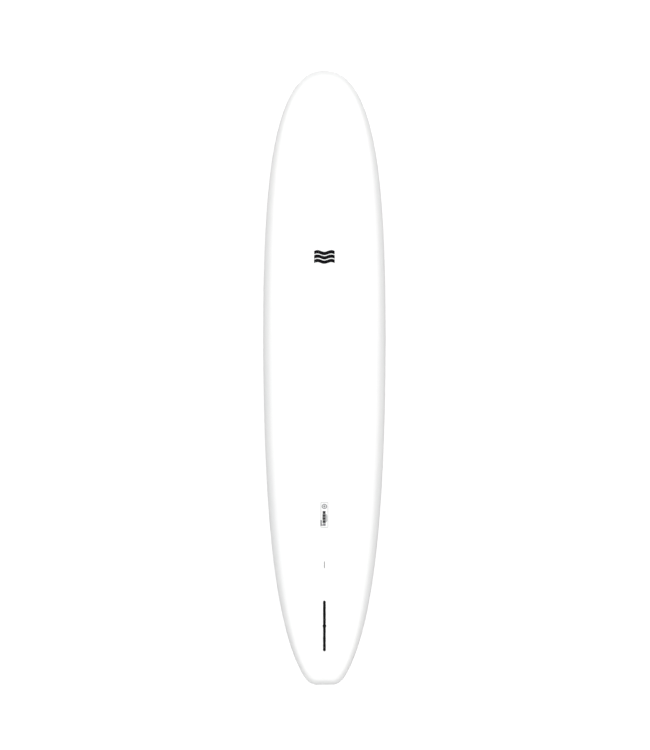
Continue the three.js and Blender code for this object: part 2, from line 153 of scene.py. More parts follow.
def lowest_point(end, tilt):
    """The deck's lowest point on the middle line near one end, when the board is tilted."""
    reach = NOSE_SPINE if end > 0 else TAIL_SPINE
    distance = reach * np.arange(STANCE_STEPS + 1) / STANCE_STEPS
    y = end * (HALF_LENGTH - distance)
    z = rocker(y) + tilt * y - deck_drop(y, distance, reach, 0)
    k = int(np.argmin(z))
    return float(y[k]), float(z[k])


def set_down():
    """The tilt and lift that set the deck down on the floor at both the nose and the tail."""
    tilt = 0.0
    for _ in range(STANCE_PASSES):
        nose_y, nose_z = lowest_point(1, tilt)
        tail_y, tail_z = lowest_point(-1, tilt)
        tilt -= (nose_z - tail_z) / (nose_y - tail_y)
    return tilt, -lowest_point(1, tilt)[1]


TILT, LIFT = set_down()


def bottom_line(y):
    """Height of the bottom on the middle line."""
    return rocker(y) + TILT * y + LIFT


def deck_line(y):
    """Height of the deck on the middle line."""
    return bottom_line(y) - thickness(y)


def bottom_height(y, across, distance, reach, inset):
    """Height of the bottom at a distance in from the rail of a layer that lies an inset inside."""
    t = np.clip(distance / (bottom_roll(y, reach) - inset), 0, 1)
    apex = bottom_line(y) - thickness(y) * BOTTOM_SHARE
    top = bottom_line(y) - BOTTOM_CROWN * across**2 - inset
    return apex + (top - apex) * (1 - (1 - t) ** BOTTOM_ROUND_IN) ** (1 / BOTTOM_ROUND_OUT)


def deck_height(y, across, distance, reach, inset):
    """Height of the deck, in the same way."""
    return bottom_line(y) - deck_drop(y, distance, reach, inset)


def surface_at(side, x, y):
    """Height of the bottom or the deck at a point between the ends of the spine."""
    reach = half_width(y + HALF_LENGTH)
    height = bottom_height if side == "bottom" else deck_height
    return height(y, np.abs(x) / reach, reach - np.abs(x), reach, 0)


def outline():
    """Points of the right half of the outline, from the middle of the tail to the nose."""
    k = np.arange(OUTLINE_SAMPLES + 1)
    from_tail = LENGTH / 2 * (1 - np.cos(np.pi * k / OUTLINE_SAMPLES))
    x = half_width(from_tail)
    x[0] = x[-1] = 0
    line = np.column_stack([x, from_tail - HALF_LENGTH])
    step = np.diff(line, axis=0)
    length = np.linalg.norm(step, axis=1)
    bend = np.abs(step[:-1, 0] * step[1:, 1] - step[:-1, 1] * step[1:, 0])
    turn = np.append(0, bend / (length[:-1] * length[1:]))
    # each step counts for its length and for how much the line turns there
    measure = np.concatenate([[0], np.cumsum(length / LENGTH + BEND_WEIGHT * turn)])
    wanted = np.linspace(0, measure[-1], OUTLINE_POINTS)
    points = np.column_stack([np.interp(wanted, measure, line[:, axis]) for axis in (0, 1)])
    points[0, 0] = points[-1, 0] = 0
    return points


# ---- meshes ------------------------------------------------------------------------------------


def add_object(name, vertices, faces):
    """A mesh object from points and faces, with its faces turned outwards."""
    mesh = bpy.data.meshes.new(name)
    mesh.from_pydata([tuple(v) for v in vertices], [], [tuple(f) for f in faces])
    work = bmesh.new()
    work.from_mesh(mesh)
    bmesh.ops.remove_doubles(work, verts=work.verts, dist=SAME_POINT)
    bmesh.ops.recalc_face_normals(work, faces=work.faces)
    work.to_mesh(mesh)
    work.free()
    made = bpy.data.objects.new(name, mesh)
    bpy.context.scene.collection.objects.link(made)
    return made


def grid_faces(rows, columns, first=0, close_rows=False, close_columns=False):
    """Four-sided faces of a grid of points that are numbered row by row."""
    faces = []
    for i in range(rows if close_rows else rows - 1):
        for k in range(columns if close_columns else columns - 1):
            j, m = (i + 1) % rows, (k + 1) % columns
            faces.append([first + a * columns + b for a, b in ((i, k), (j, k), (j, m), (i, m))])
    return faces


def cap_faces(count, first):
    """Faces across a convex loop, in a strip that starts at its first point."""
    faces = []
    for k in range(count // 2):
        corners = dict.fromkeys((k, k + 1, count - k - 1, (count - k) % count))
        faces.append([first + corner for corner in corners])
    return faces


def loft(name, loops, closed=False):
    """An object whose skin runs through closed loops, capped at both ends or closed on itself."""
    count = len(loops[0])
    points = [p for loop in loops for p in loop]
    faces = grid_faces(len(loops), count, close_rows=closed, close_columns=True)
    if not closed:
        faces += cap_faces(count, 0) + cap_faces(count, (len(loops) - 1) * count)
    return add_object(name, points, faces)


def circle(radius, height, sides):
    """A loop round the local Z axis."""
    angles = 2 * np.pi * np.arange(sides) / sides
    return [(radius * math.cos(a), radius * math.sin(a), height) for a in angles]


def round_ended(length, width, arc_sides=10, straight_sides=24):
    """A loop with round ends that runs along Y, as x and y, from the tip of its +Y end."""
    radius = width / 2
    middle = length / 2 - radius
    arc = np.pi / 2 * np.arange(arc_sides + 1) / arc_sides
    half = [(-radius * math.sin(a), middle + radius * math.cos(a)) for a in arc]
    half += [(-radius, y) for y in np.linspace(middle, -middle, straight_sides + 1)[1:-1]]
    half += [(-radius * math.cos(a), -middle - radius * math.sin(a)) for a in arc]
    return half + [(-x, y) for x, y in half[-2:0:-1]]


def arc_profile(centre, radius, start, end, steps=6):
    """Points of a rounded edge in a turned piece's profile; angles in degrees."""
    angles = np.radians(np.linspace(start, end, steps + 1))
    return [(centre[0] + radius * math.cos(a), centre[1] + radius * math.sin(a)) for a in angles]


def turned(name, profile, place, sides=96, closed=False):
    """A piece turned about the local Z axis of a place, from radius and height pairs."""
    made = loft(name, [circle(max(r, ON_AXIS), h, sides) for r, h in profile], closed)
    made.data.transform(place)
    return made


def cut(target, cutter, operation="DIFFERENCE"):
    """Takes the cutter's solid out of the target's mesh, or joins it on, and removes the cutter.
    The slivers that this leaves are merged away, so that the mesh stays closed."""
    modifier = target.modifiers.new("cut", "BOOLEAN")
    modifier.object = cutter
    modifier.operation = operation
    modifier.solver = "EXACT"
    bpy.context.view_layer.update()
    evaluated = target.evaluated_get(bpy.context.evaluated_depsgraph_get())
    mesh = bpy.data.meshes.new_from_object(evaluated)
    target.modifiers.clear()
    work = bmesh.new()
    work.from_mesh(mesh)
    bmesh.ops.remove_doubles(work, verts=work.verts, dist=WELD)
    bmesh.ops.dissolve_degenerate(work, edges=work.edges, dist=WELD)
    wide = [face for face in work.faces if len(face.verts) > 4]
    bmesh.ops.triangulate(work, faces=wide, ngon_method="EAR_CLIP")
    bmesh.ops.dissolve_degenerate(work, edges=work.edges, dist=WELD)
    work.to_mesh(mesh)
    work.free()
    target.data = mesh
    bpy.data.objects.remove(cutter)


# passes that settle a fitting's place, and the step that the surface's slope is taken over
PLACE_PASSES, SLOPE_STEP = 3, 1 * MM


def place_of(node, surface, outward, middle):
    """The place of a fitting whose node's middle lies this far out of the surface: its local +Z
    points out of the board."""
    low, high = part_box(node)
    line = bottom_line if surface == "bottom" else deck_line
    y = (low.y + high.y) / 2
    for _ in range(PLACE_PASSES):
        rise = float(line(y + SLOPE_STEP) - line(y - SLOPE_STEP))
        slope = math.atan(rise / (2 * SLOPE_STEP))
        y = (low.y + high.y) / 2 + math.sin(slope) * outward * middle
    turn = slope if outward > 0 else math.pi + slope
    return Matrix.Translation((0, y, float(line(y)))) @ Matrix.Rotation(turn, 4, "X")


# ---- node materials ----------------------------------------------------------------------------


class Look:
    """A node material on one Principled shader, with helpers for the usual chains."""

    def __init__(self, name, roughness, metallic=0.0, **sockets):
        self.material = bpy.data.materials.new(name)
        self.material.use_nodes = True
        self.nodes = self.material.node_tree.nodes
        self.links = self.material.node_tree.links
        self.shader = self.nodes["Principled BSDF"]
        self.shader.inputs["Roughness"].default_value = roughness
        self.shader.inputs["Metallic"].default_value = metallic
        for socket, value in sockets.items():
            self.shader.inputs[socket.replace("_", " ")].default_value = value
        self.normal = None

    def node(self, kind, **values):
        made = self.nodes.new(kind)
        for key, value in values.items():
            if key in made.inputs:
                made.inputs[key].default_value = value
            else:
                setattr(made, key, value)
        return made

    def place(self, scale=(1, 1, 1)):
        """Object coordinates, stretched along each axis."""
        coordinates = self.node("ShaderNodeTexCoord")
        mapping = self.node("ShaderNodeMapping", Scale=scale)
        self.links.new(coordinates.outputs["Object"], mapping.inputs["Vector"])
        return mapping.outputs["Vector"]

    def noise(self, scale, stretch=(1, 1, 1), detail=4.0):
        made = self.node("ShaderNodeTexNoise", Scale=scale, Detail=detail)
        self.links.new(self.place(stretch), made.inputs["Vector"])
        return made.outputs["Fac"]

    def cells(self, scale):
        made = self.node("ShaderNodeTexVoronoi", Scale=scale)
        self.links.new(self.place(), made.inputs["Vector"])
        return made.outputs["Distance"]

    def waves(self, scale, direction, distortion=0.0, stretch=(1, 1, 1), detail=2.0):
        made = self.node(
            "ShaderNodeTexWave",
            bands_direction=direction, Scale=scale, Distortion=distortion, Detail=detail,
        )
        self.links.new(self.place(stretch), made.inputs["Vector"])
        return made.outputs["Fac"]

    def rings(self, scale, middle, distortion=1.5):
        """Fine rings round an upright axis through a middle."""
        made = self.node(
            "ShaderNodeTexWave",
            wave_type="RINGS", rings_direction="Z", Scale=scale, Distortion=distortion,
        )
        vector = self.place()
        vector.node.inputs["Location"].default_value = [-value for value in middle]
        self.links.new(vector, made.inputs["Vector"])
        return made.outputs["Fac"]

    def ramp(self, value, low, high, stops=((0.35, 0), (0.65, 1))):
        """A colour between low and high that follows a value."""
        made = self.node("ShaderNodeValToRGB")
        for element, (position, which) in zip(made.color_ramp.elements, stops):
            element.position = position
            element.color = (*(high if which else low), 1)
        self.links.new(value, made.inputs["Fac"])
        return made.outputs["Color"]

    def colour(self, value, low, high, **stops):
        self.links.new(self.ramp(value, low, high, **stops), self.shader.inputs["Base Color"])

    def rough(self, value, low, high):
        """Roughness that follows a value."""
        made = self.node("ShaderNodeMapRange")
        made.inputs["To Min"].default_value = low
        made.inputs["To Max"].default_value = high
        self.links.new(value, made.inputs["Value"])
        self.links.new(made.outputs["Result"], self.shader.inputs["Roughness"])

    def bump(self, value, depth, strength=1.0):
        """Adds a relief of this depth on top of the ones before it."""
        made = self.node("ShaderNodeBump", Strength=strength, Distance=depth)
        self.links.new(value, made.inputs["Height"])
        if self.normal:
            self.links.new(self.normal, made.inputs["Normal"])
        self.normal = made.outputs["Normal"]
        self.links.new(self.normal, self.shader.inputs["Normal"])


def shell_look():
    """White gloss epoxy with a faint drift of tone, orange peel and fine sanding haze."""
    look = Look("gloss_white_epoxy", 0.14)
    look.colour(look.noise(3.0, detail=3), (0.845, 0.85, 0.85), (0.865, 0.865, 0.86))
    look.rough(look.noise(40.0, detail=5), 0.1, 0.18)
    look.bump(look.noise(9.0, detail=1), 0.25 * MM, 0.35)
    look.bump(look.noise(420.0, detail=2), 0.012 * MM, 0.5)
    return look.material


def plastic_look():
    """Black moulded plastic with a fine spark-eroded grain."""
    look = Look("black_moulded_plastic", 0.4)
    look.colour(look.noise(90.0), (0.006, 0.006, 0.007), (0.013, 0.013, 0.014))
    look.rough(look.noise(260.0), 0.32, 0.5)
    look.bump(look.noise(2600.0, detail=3), 0.03 * MM, 0.5)
    return look.material


def steel_look(name, along, middle=None):
    """Stainless steel brushed along one axis, or turned in rings round a middle."""
    look = Look(name, 0.28, metallic=1.0)
    if middle:
        brushed = look.rings(2600.0, middle)
    else:
        brushed = look.noise(900.0, stretch=along, detail=3)
    look.colour(brushed, (0.52, 0.53, 0.55), (0.68, 0.69, 0.7))
    look.rough(brushed, 0.18, 0.36)
    look.bump(brushed, 0.01 * MM, 0.4)
    return look.material


def brass_look():
    """Turned brass with fine rings."""
    look = Look("turned_brass", 0.3, metallic=1.0)
    look.colour(look.noise(300.0), (0.58, 0.4, 0.15), (0.72, 0.52, 0.22))
    look.rough(look.noise(700.0, stretch=(1, 1, 6)), 0.22, 0.4)
    look.bump(look.waves(900.0, "Z"), 0.01 * MM, 0.4)
    return look.material


def rubber_look():
    """Black seal rubber with a dull bloom."""
    look = Look("seal_rubber", 0.75)
    look.colour(look.noise(500.0), (0.012, 0.012, 0.012), (0.028, 0.028, 0.027))
    look.rough(look.noise(900.0), 0.65, 0.85)
    look.bump(look.noise(3000.0), 0.02 * MM, 0.5)
    return look.material


def bead_foam_look():
    """White expanded bead foam: rounded cells of about 3 mm with darker joints."""
    look = Look("bead_foam", 0.9, Subsurface_Weight=0.05)
    beads = look.cells(330.0)
    look.colour(beads, (0.9, 0.9, 0.88), (0.74, 0.74, 0.72), stops=((0.3, 0), (0.8, 1)))
    look.rough(look.noise(200.0), 0.82, 0.95)
    look.bump(beads, 0.5 * MM, 0.6)
    return look.material


def dense_foam_look():
    """Tan high-density foam with fine pores."""
    look = Look("dense_foam", 0.85)
    look.colour(look.noise(700.0, detail=6), (0.62, 0.5, 0.3), (0.74, 0.62, 0.4))
    look.rough(look.noise(300.0), 0.75, 0.95)
    look.bump(look.cells(1500.0), 0.15 * MM, 0.5)
    return look.material


def wood_look():
    """Light straight-grained wood, its rings and pores drawn out along the board."""
    look = Look("stringer_wood", 0.6)
    grain = look.waves(60.0, "Z", distortion=3.0, stretch=(1, 0.05, 1), detail=3)
    look.colour(grain, (0.42, 0.24, 0.11), (0.66, 0.45, 0.24))
    look.rough(look.noise(500.0, stretch=(1, 0.03, 1)), 0.5, 0.75)
    look.bump(look.noise(1400.0, stretch=(1, 0.02, 1)), 0.06 * MM, 0.5)
    return look.material


def ink_look(name, low, high):
    """Printed ink under clear gloss, with a slight mottle."""
    look = Look(name, 0.16)
    look.colour(look.noise(800.0, detail=3), low, high)
    look.rough(look.noise(400.0), 0.1, 0.2)
    look.bump(look.noise(420.0, detail=2), 0.012 * MM, 0.5)
    return look.material


FLOOR_GLOW = 0.66


def floor_look():
    """Pale matt studio floor that glows faintly, so that it washes out but still takes a shadow."""
    look = Look("studio_floor", 0.9, Specular_IOR_Level=0.0, Emission_Strength=FLOOR_GLOW)
    look.shader.inputs["Emission Color"].default_value = (1, 1, 1, 1)
    look.colour(look.noise(0.6), (0.36, 0.36, 0.36), (0.4, 0.4, 0.4))
    return look.material


# ---- pieces ------------------------------------------------------------------------------------


def finish_piece(made, material, body="board", nodes=()):
    """Smooth shading with sharp edges, a material, a body to ride on and the nodes it replaces."""
    for polygon in made.data.polygons:
        polygon.use_smooth = True
    made.data.set_sharp_from_angle(angle=math.radians(SHARP_ANGLE))
    made.data.materials.clear()
    made.data.materials.append(material)
    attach(made, body)
    if nodes:
        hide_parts(*nodes)
    return made


def shell(side):
    """One shell of the board: an outer and an inner surface joined by a rim at the rail. Its
    ribs run from the outline in to the spine, over the rail's roll and then over the flat."""
    edge = outline()
    spine_y = np.clip(edge[:, 1], -HALF_LENGTH + TAIL_SPINE, HALF_LENGTH - NOSE_SPINE)
    inward = np.column_stack([-edge[:, 0], spine_y - edge[:, 1]])
    reach = np.linalg.norm(inward, axis=1)
    inward /= reach[:, None]
    roll = (bottom_roll if side == "bottom" else deck_roll)(edge[:, 1], reach)
    height = bottom_height if side == "bottom" else deck_height
    shift = SEAM / 2 if side == "bottom" else -SEAM / 2
    roll_share = (np.arange(ROLL_RINGS + 1) / ROLL_RINGS) ** 2
    flat_share = np.linspace(0, 1, FLAT_RINGS + 1)[1:]
    vertices, faces, grids = [], [], []
    for inset in (0, SKIN):
        over_roll = (roll - inset)[:, None] * roll_share[None, :]
        over_flat = (roll - inset)[:, None] + (reach - roll)[:, None] * flat_share[None, :]
        distance = np.concatenate([over_roll, over_flat], axis=1)
        at = edge[:, None, :] + inward[:, None, :] * (distance + inset)[:, :, None]
        across = 1 - (distance + inset) / reach[:, None]
        rib = np.broadcast_to(reach[:, None], distance.shape)
        z = height(at[:, :, 1], across, distance, rib, inset)
        z[:, 0] += shift
        right = np.dstack([at, z])
        left = right[1:-1][::-1] * np.array([-1, 1, 1])
        grids.append(np.concatenate([right, left]))
    rows, columns = grids[0].shape[:2]
    for grid in grids:
        faces += grid_faces(rows, columns, first=len(vertices), close_rows=True)
        vertices += list(grid.reshape(-1, 3))
    inner = rows * columns
    for i in range(rows):
        j = (i + 1) % rows
        faces.append([i * columns, j * columns, inner + j * columns, inner + i * columns])
    return add_object(f"{side}_shell", vertices, faces)


# steps round an eased edge, and how far a cutter reaches above the surface that it opens
LIP_STEPS = 5
LIP_OVER = 3 * MM


def lip(radius, depth):
    """Heights and outward growth of a hole's wall, whose edge rounds over at the surface."""
    angles = np.linspace(0, math.pi / 2, LIP_STEPS + 1)
    rounded = [(-radius + radius * math.sin(a), radius - radius * math.cos(a)) for a in angles]
    return [(-depth, 0)] + rounded + [(LIP_OVER, radius)]


def hole_cutter(name, shape, side, place, rounding):
    """A solid that opens a shell with rounded edges: its loops follow the board's surface.
    shape(growth) gives the hole's loop in the place's own x and y."""
    out = place.to_3x3() @ Vector((0, 0, 1))
    loops = []
    for height, growth in lip(rounding, 2 * SKIN):
        loop = []
        for x, y in shape(growth):
            world = place @ Vector((x, y, 0))
            z = float(surface_at(side, world.x, world.y))
            loop.append(Vector((world.x, world.y, z)) + out * height)
        loops.append(loop)
    return loft(name, loops)


# fin box, in its own frame: +Z out of the board, z = 0 at the surface
SLOT_LENGTH, SLOT_WIDTH, SLOT_FLOOR = 236.4 * MM, 9.7 * MM, -23 * MM
TRACK_WIDTH, TRACK_TOP, TRACK_FLOOR = 15 * MM, -9 * MM, -15.8 * MM
DROP_IN_RADIUS = 6.9 * MM
BODY_LENGTH, BODY_WIDTH, BODY_FLOOR = 258 * MM, 21 * MM, -26 * MM
FLANGE_LENGTH, FLANGE_WIDTH, FLANGE_TOP, FLANGE_FLOOR = 272 * MM, 27 * MM, -2.4 * MM, -6.5 * MM
SLOT_LIP, SLOT_FILLET, SLOT_OVER = 0.5 * MM, 1.5 * MM, 4 * MM
# the slot's lower edge is eased in two facets that meet at this share of it
FILLET_BEND = 0.3
MOULD_ROUND, TRACK_ROUND = 0.6 * MM, 0.8 * MM
# the box's collar lines the opening in the shell: its wall, and how deep its top lies
COLLAR_WALL, COLLAR_TOP, COLLAR_ROUND = 1.3 * MM, 0.15 * MM, 0.35 * MM
COLLAR_END, DROP_IN_WALL = 2.6 * MM, 1.6 * MM
COLLAR_FIT = 0.05 * MM

fin_place = place_of("fin_box", "bottom", 1, (FLANGE_TOP + FLANGE_FLOOR) / 2)
fin_slope = fin_place.to_euler().x

# the round holes in the deck: their fit, eased edge and sides
HOLE_FIT, HOLE_LIP, HOLE_SIDES = 0.15 * MM, 0.4 * MM, 96

# leash plug, in its own frame in the same way
CUP_RADIUS, CUP_BOWL, CUP_FLOOR, CUP_BOWL_FLOOR = 14.5 * MM, 11 * MM, -19 * MM, -16 * MM
CUP_TOP, CUP_ROUND, BOWL_ROUND = -0.3 * MM, 0.9 * MM, 4 * MM
BAR_RADIUS, BAR_HALF, BAR_HEIGHT = 2 * MM, 13 * MM, -5.5 * MM
BAR_EASE, BAR_FIT, BAR_SIDES, BAR_STEPS = 0.4 * MM, 0.1 * MM, 40, 24

leash_place = place_of("leash_plug_cup", "deck", -1, (CUP_TOP + CUP_FLOOR) / 2)

# air vent, in its own frame in the same way
VENT_TOP, VENT_FLANGE, VENT_FLANGE_FLOOR, VENT_RADIUS = -0.3 * MM, 15 * MM, -3.2 * MM, 12 * MM
VENT_FLOOR, VENT_HEAD, VENT_HEAD_FLOOR = -21 * MM, 8.6 * MM, -5.9 * MM
VENT_SLEEVE, VENT_SLEEVE_FLOOR, VENT_AIR = 6.7 * MM, -16.2 * MM, 3.4 * MM
VENT_EASE, VENT_CHAMFER, VENT_SEAT_ROUND = 0.5 * MM, 0.2 * MM, 0.3 * MM
SLEEVE_RADIUS, SLEEVE_BORE, SLEEVE_TOP, SLEEVE_FLOOR = 6.4 * MM, 4.65 * MM, -6.2 * MM, -15.9 * MM
SLEEVE_EASE = 0.3 * MM
SCREW_TOP, SCREW_HEAD, SCREW_HEAD_FLOOR, SCREW_FLOOR = -0.6 * MM, 8.1 * MM, -3.7 * MM, -14.2 * MM
SCREW_MAJOR, SCREW_MINOR, SCREW_PITCH, SCREW_TURNS = 4.3 * MM, 3.8 * MM, 1.5 * MM, 5.5
HEAD_EASE, HEAD_CHAMFER = 0.5 * MM, 0.2 * MM
# loops in a turn of the thread, loops over which it runs out at an end, and how blunt its crest is
THREAD_SIDES, THREAD_STEPS, THREAD_FADE, THREAD_CREST = 72, 12, 6, 1.25
COIN_WIDTH, COIN_DEPTH, COIN_FLAT, COIN_EASE = 1.8 * MM, 1.5 * MM, 0.54 * MM, 0.315 * MM
COIN_OVER, COIN_REACH = 1 * MM, 1.2 * SCREW_HEAD
SEAL_RADIUS, SEAL_SECTION, SEAL_HEIGHT, SEAL_STEPS = 6.6 * MM, 0.8 * MM, -4.85 * MM, 20

vent_place = place_of("vent_housing", "deck", -1, (VENT_TOP + VENT_FLANGE_FLOOR) / 2)


def bar_shape(length, width):
    """The loop of a bar with round ends, for any growth outwards."""
    return lambda growth: round_ended(length + 2 * growth, width + 2 * growth)


def round_shape(radius, sides=72):
    """The loop of a round form, for any growth outwards."""
    return lambda growth: [(x, y) for x, y, _ in circle(radius + growth, 0, sides)]


def collar_shapes(fit):
    """Outlines of the box's collar round its slot and round its drop-in opening."""
    slot = bar_shape(SLOT_LENGTH + 2 * (COLLAR_END + fit), SLOT_WIDTH + 2 * (COLLAR_WALL + fit))
    return slot, round_shape(DROP_IN_RADIUS + DROP_IN_WALL + fit)


def prism(name, shape, levels, place):
    """A solid in a place's frame from a loop, with a growth at each of its heights."""
    made = loft(name, [[(x, y, height) for x, y in shape(growth)] for height, growth in levels])
    made.data.transform(place)
    return made


def rounded_floor(floor, radius):
    """Heights and growths up the rounded lower edge of a form."""
    angles = np.linspace(0, math.pi / 2, LIP_STEPS + 1)
    return [(floor + radius - radius * math.cos(a), -radius + radius * math.sin(a)) for a in angles]


def rounded_levels(floor, top, radius):
    """Heights and growths of a form with rounded edges at its floor and top."""
    angles = np.linspace(0, math.pi / 2, LIP_STEPS + 1)
    high = [(top - radius + radius * math.sin(a), -radius + radius * math.cos(a)) for a in angles]
    return rounded_floor(floor, radius) + high


def bottom_shell(material):
    """The bottom shell, opened for the box's collar and recessed for its flange."""
    made = shell("bottom")
    slot, drop_in = collar_shapes(COLLAR_FIT)
    cut(made, hole_cutter("slot_cutter", slot, "bottom", fin_place, SLOT_LIP))
    cut(made, hole_cutter("drop_in_cutter", drop_in, "bottom", fin_place, SLOT_LIP))
    under = [(BODY_FLOOR, COLLAR_FIT), (FLANGE_TOP + COLLAR_FIT, COLLAR_FIT)]
    cut(made, prism("flange_recess", bar_shape(FLANGE_LENGTH, FLANGE_WIDTH), under, fin_place))
    return finish_piece(made, material, nodes=("bottom_skin",))


def deck_shell(material):
    """The deck shell, opened for the leash cup and the vent."""
    made = shell("deck")
    cup = round_shape(CUP_RADIUS + HOLE_FIT, HOLE_SIDES)
    cut(made, hole_cutter("leash_cutter", cup, "deck", leash_place, HOLE_LIP))
    vent = round_shape(VENT_FLANGE + HOLE_FIT, HOLE_SIDES)
    cut(made, hole_cutter("vent_cutter", vent, "deck", vent_place, HOLE_LIP))
    return finish_piece(made, material, nodes=("deck_skin",))


def collar(name, shape):
    """A solid in the fin box's frame that rises out of its flange to just under the surface."""
    loops = [[(x, y, FLANGE_FLOOR) for x, y in shape(0)]]
    for growth, sink in ((0, COLLAR_TOP + COLLAR_ROUND), (-COLLAR_ROUND, COLLAR_TOP)):
        loop = []
        for x, y in shape(growth):
            world = fin_place @ Vector((x, y, 0))
            up = float(surface_at("bottom", world.x, world.y)) - world.z
            loop.append((x, y, up * math.cos(fin_slope) - sink))
        loops.append(loop)
    return loft(name, loops)


def fin_box(material):
    """The moulded box: a long body under a wider flange, with a slot, side track and drop-in."""
    low = rounded_floor(BODY_FLOOR, MOULD_ROUND) + [(FLANGE_FLOOR, 0)]
    high = rounded_levels(FLANGE_FLOOR, FLANGE_TOP, MOULD_ROUND)
    body, flange = bar_shape(BODY_LENGTH, BODY_WIDTH), bar_shape(FLANGE_LENGTH, FLANGE_WIDTH)
    loops = [[(x, y, h) for x, y in body(g)] for h, g in low]
    loops += [[(x, y, h) for x, y in flange(g)] for h, g in high]
    made = loft("fin_box_moulding", loops)
    for shape in collar_shapes(0):
        cut(made, collar("collar", shape), "UNION")
    bend = FILLET_BEND * SLOT_FILLET
    levels = [(SLOT_FLOOR, -SLOT_FILLET), (SLOT_FLOOR + bend, -bend)]
    levels += [(SLOT_FLOOR + SLOT_FILLET, 0), (SLOT_OVER, 0)]
    own = Matrix.Identity(4)
    cut(made, prism("slot", bar_shape(SLOT_LENGTH, SLOT_WIDTH), levels, own))
    track = rounded_levels(TRACK_FLOOR, TRACK_TOP, TRACK_ROUND)
    cut(made, prism("track", bar_shape(SLOT_LENGTH, TRACK_WIDTH), track, own))
    drop_in = [(TRACK_FLOOR, 0), (SLOT_OVER, 0)]
    cut(made, prism("drop_in", round_shape(DROP_IN_RADIUS), drop_in, own))
    made.data.transform(fin_place)
    return finish_piece(made, material, nodes=("fin_box",))


def leash_cup(material):
    """The cup: a rounded rim nearly flush with the deck and a bowl with a round floor."""
    rim = CUP_ROUND
    profile = [(0, CUP_FLOOR)]
    profile += arc_profile((CUP_RADIUS - rim, CUP_FLOOR + rim), rim, -90, 0)
    profile += arc_profile((CUP_RADIUS - rim, CUP_TOP - rim), rim, 0, 90)
    profile += arc_profile((CUP_BOWL + rim, CUP_TOP - rim), rim, 90, 180)
    bowl = (CUP_BOWL - BOWL_ROUND, CUP_BOWL_FLOOR + BOWL_ROUND)
    profile += arc_profile(bowl, BOWL_ROUND, 0, -90, 10)
    profile += [(0, CUP_BOWL_FLOOR)]
    made = turned("leash_plug_moulding", profile, Matrix.Identity(4))
    cut(made, bar_form("bar_hole", BAR_RADIUS + BAR_FIT, BAR_HALF + BAR_FIT))
    made.data.transform(leash_place)
    return finish_piece(made, material, nodes=("leash_plug_cup",))


def bar_form(name, radius, half):
    """A bar across the cup with eased ends, in the leash plug's own frame."""
    ease = BAR_EASE
    profile = [(0, -half), (radius - ease, -half)]
    profile += [(radius, h) for h in np.linspace(-half + ease, half - ease, BAR_STEPS)]
    profile += [(radius - ease, half), (0, half)]
    lay = Matrix.Translation((0, 0, BAR_HEIGHT)) @ Matrix.Rotation(math.pi / 2, 4, "Y")
    return turned(name, profile, lay, BAR_SIDES)


def leash_bar(material):
    """The steel bar across the cup, where a leash is tied."""
    made = bar_form("leash_plug_rod", BAR_RADIUS, BAR_HALF)
    made.data.transform(leash_place)
    return finish_piece(made, material, nodes=("leash_plug_bar",))


def vent_housing(material):
    """The housing: a flange ring with rounded edges round a countersunk seat, and an air hole."""
    ease = VENT_EASE
    profile = [(VENT_AIR, VENT_FLOOR)]
    profile += arc_profile((VENT_RADIUS - ease, VENT_FLOOR + ease), ease, -90, 0)
    profile += [(VENT_RADIUS, VENT_FLANGE_FLOOR), (VENT_FLANGE - VENT_CHAMFER, VENT_FLANGE_FLOOR)]
    profile += [(VENT_FLANGE, VENT_FLANGE_FLOOR + VENT_CHAMFER)]
    profile += arc_profile((VENT_FLANGE - ease, VENT_TOP - ease), ease, 0, 90)
    profile += arc_profile((VENT_HEAD + ease, VENT_TOP - ease), ease, 90, 180)
    seat = (VENT_HEAD - VENT_SEAT_ROUND, VENT_HEAD_FLOOR + VENT_SEAT_ROUND)
    profile += arc_profile(seat, VENT_SEAT_ROUND, 0, -90, 4)
    profile += [(VENT_SLEEVE, VENT_HEAD_FLOOR), (VENT_SLEEVE, VENT_SLEEVE_FLOOR)]
    profile += [(VENT_AIR, VENT_SLEEVE_FLOOR)]
    made = turned("vent_moulding", profile, vent_place, closed=True)
    return finish_piece(made, material, nodes=("vent_housing",))


def thread_sleeve(material):
    """The brass sleeve, eased at both ends."""
    ease = SLEEVE_EASE
    profile = [
        (SLEEVE_BORE, SLEEVE_FLOOR + ease), (SLEEVE_BORE + ease, SLEEVE_FLOOR),
        (SLEEVE_RADIUS - ease, SLEEVE_FLOOR), (SLEEVE_RADIUS, SLEEVE_FLOOR + ease),
        (SLEEVE_RADIUS, SLEEVE_TOP - ease), (SLEEVE_RADIUS - ease, SLEEVE_TOP),
        (SLEEVE_BORE + ease, SLEEVE_TOP), (SLEEVE_BORE, SLEEVE_TOP - ease),
    ]
    made = turned("vent_thread_sleeve", profile, vent_place, closed=True)
    return finish_piece(made, material, nodes=("vent_thread_insert",))


def thread_loops():
    """Loops up the screw's right-hand thread, which runs out at both ends."""
    steps = int(SCREW_TURNS * THREAD_STEPS)
    loops = []
    for k in range(steps + 1):
        height = SCREW_FLOOR + SCREW_PITCH * SCREW_TURNS * k / steps
        fade = min(1, k / THREAD_FADE, (steps - k) / THREAD_FADE)
        loop = []
        for i in range(THREAD_SIDES):
            angle = 2 * math.pi * i / THREAD_SIDES
            phase = (height / SCREW_PITCH - i / THREAD_SIDES) % 1
            ridge = min(1, THREAD_CREST * (1 - abs(2 * phase - 1)))
            radius = SCREW_MINOR + (SCREW_MAJOR - SCREW_MINOR) * fade * ridge
            loop.append((radius * math.cos(angle), radius * math.sin(angle), height))
        loops.append(loop)
    return loops


